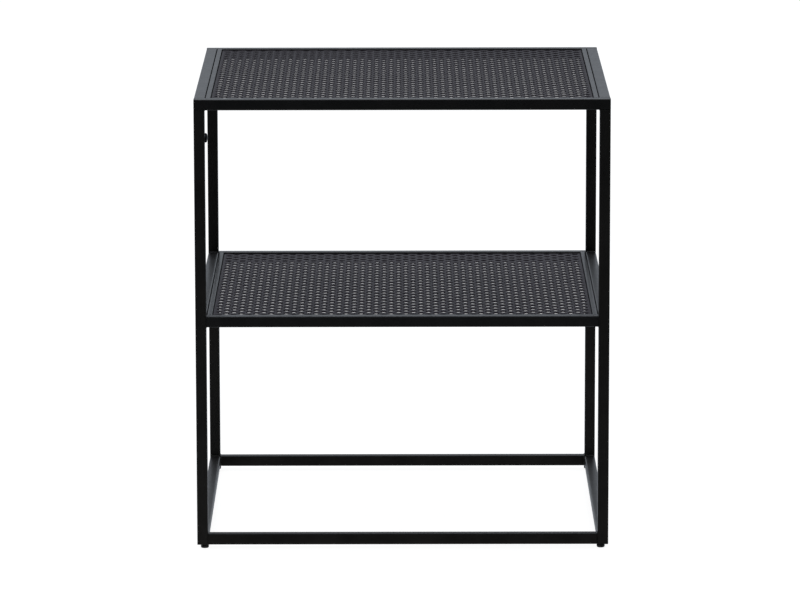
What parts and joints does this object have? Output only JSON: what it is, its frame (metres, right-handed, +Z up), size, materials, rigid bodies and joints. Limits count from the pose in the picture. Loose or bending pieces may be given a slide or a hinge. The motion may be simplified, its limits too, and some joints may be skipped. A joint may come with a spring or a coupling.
{
  "type": "side table",
  "caption": "Rigid square-tube side table with a perforated top panel, a perforated shelf panel and screw-in levelling feet, all in black powder coat.",
  "frame": {"origin": "on the floor under the middle of the table", "axes": "+X is the table's right side, +Y is its back, +Z is up"},
  "size_m": [0.5, 0.45, 0.552],
  "materials": {
    "frame_coat": "satin black powder coat, fine texture",
    "panel_coat": "satin black powder coat on pierced sheet",
    "black_steel": "black oxide",
    "zinc_steel": "zinc plated",
    "plug_nylon": "moulded, fine grain",
    "pad_rubber": "matte"
  },
  "bodies": {
    "frame": {"leg_front_left": "frame_coat", "leg_front_right": "frame_coat", "leg_rear_left": "frame_coat", "leg_rear_right": "frame_coat", "top_side_rail_left": "frame_coat", "top_side_rail_right": "frame_coat", "top_front_rail": "frame_coat", "top_rear_rail": "frame_coat", "shelf_side_rail_left": "frame_coat", "shelf_side_rail_right": "frame_coat", "shelf_front_rail": "frame_coat", "shelf_rear_rail": "frame_coat", "base_side_rail_left": "frame_coat", "base_side_rail_right": "frame_coat", "base_front_rail": "frame_coat", "base_rear_rail": "frame_coat", "top_carrier_bar_left": "frame_coat", "top_carrier_bar_right": "frame_coat", "shelf_carrier_bar_left": "frame_coat", "shelf_carrier_bar_right": "frame_coat", "top_rail_plug_front_left": "plug_nylon", "top_rail_plug_front_right": "plug_nylon", "top_rail_plug_rear_left": "plug_nylon", "top_rail_plug_rear_right": "plug_nylon", "top_rivet_nut_left_front": "zinc_steel", "top_bar_screw_left_front": "black_steel", "top_rivet_nut_left_rear": "zinc_steel", "top_bar_screw_left_rear": "black_steel", "top_rivet_nut_right_front": "zinc_steel", "top_bar_screw_right_front": "black_steel", "top_rivet_nut_right_rear": "zinc_steel", "top_bar_screw_right_rear": "black_steel", "shelf_rivet_nut_left_front": "zinc_steel", "shelf_bar_screw_left_front": "black_steel", "shelf_rivet_nut_left_rear": "zinc_steel", "shelf_bar_screw_left_rear": "black_steel", "shelf_rivet_nut_right_front": "zinc_steel", "shelf_bar_screw_right_front": "black_steel", "shelf_rivet_nut_right_rear": "zinc_steel", "shelf_bar_screw_right_rear": "black_steel", "side_screw_rivet_nut": "zinc_steel", "side_screw": "black_steel", "leg_insert_front_left": "plug_nylon", "leg_insert_front_right": "plug_nylon", "leg_insert_rear_left": "plug_nylon", "leg_insert_rear_right": "plug_nylon"},
    "top_panel": {"top_panel": "panel_coat"},
    "shelf_panel": {"shelf_panel": "panel_coat"},
    "foot_stud_front_left": {"foot_stud_front_left": "zinc_steel"},
    "foot_pad_front_left": {"foot_pad_front_left": "pad_rubber"},
    "foot_stud_front_right": {"foot_stud_front_right": "zinc_steel"},
    "foot_pad_front_right": {"foot_pad_front_right": "pad_rubber"},
    "foot_stud_rear_left": {"foot_stud_rear_left": "zinc_steel"},
    "foot_pad_rear_left": {"foot_pad_rear_left": "pad_rubber"},
    "foot_stud_rear_right": {"foot_stud_rear_right": "zinc_steel"},
    "foot_pad_rear_right": {"foot_pad_rear_right": "pad_rubber"}
  },
  "joints": [
    {"name": "top_panel_lift", "type": "slide", "parent": "frame", "child": "top_panel", "axis": [0, 0, 1], "range_m": [0, 0.06]},
    {"name": "shelf_panel_lift", "type": "slide", "parent": "frame", "child": "shelf_panel", "axis": [0, 0, 1], "range_m": [0, 0.12]},
    {"name": "foot_travel_front_left", "type": "slide", "parent": "frame", "child": "foot_stud_front_left", "axis": [0, 0, -1], "range_m": [-0.001, 0.007]},
    {"name": "foot_turn_front_left", "type": "hinge", "parent": "foot_stud_front_left", "child": "foot_pad_front_left", "pos_m": [-0.241, -0.2184, 0.0022], "axis": [0, 0, -1], "range_deg": [-520, 3605]},
    {"name": "foot_travel_front_right", "type": "slide", "parent": "frame", "child": "foot_stud_front_right", "axis": [0, 0, -1], "range_m": [-0.001, 0.007]},
    {"name": "foot_turn_front_right", "type": "hinge", "parent": "foot_stud_front_right", "child": "foot_pad_front_right", "pos_m": [0.241, -0.2184, 0.0022], "axis": [0, 0, -1], "range_deg": [-520, 3605]},
    {"name": "foot_travel_rear_left", "type": "slide", "parent": "frame", "child": "foot_stud_rear_left", "axis": [0, 0, -1], "range_m": [-0.001, 0.007]},
    {"name": "foot_turn_rear_left", "type": "hinge", "parent": "foot_stud_rear_left", "child": "foot_pad_rear_left", "pos_m": [-0.241, 0.2184, 0.0022], "axis": [0, 0, -1], "range_deg": [-520, 3605]},
    {"name": "foot_travel_rear_right", "type": "slide", "parent": "frame", "child": "foot_stud_rear_right", "axis": [0, 0, -1], "range_m": [-0.001, 0.007]},
    {"name": "foot_turn_rear_right", "type": "hinge", "parent": "foot_stud_rear_right", "child": "foot_pad_rear_right", "pos_m": [0.241, 0.2184, 0.0022], "axis": [0, 0, -1], "range_deg": [-520, 3605]}
  ],
  "couplings": [
    {"joint": "foot_turn_front_left", "follows": "foot_travel_front_left", "rad_per_m": 8976},
    {"joint": "foot_turn_front_right", "follows": "foot_travel_front_right", "rad_per_m": 8976},
    {"joint": "foot_turn_rear_left", "follows": "foot_travel_rear_left", "rad_per_m": 8976},
    {"joint": "foot_turn_rear_right", "follows": "foot_travel_rear_right", "rad_per_m": 8976}
  ]
}
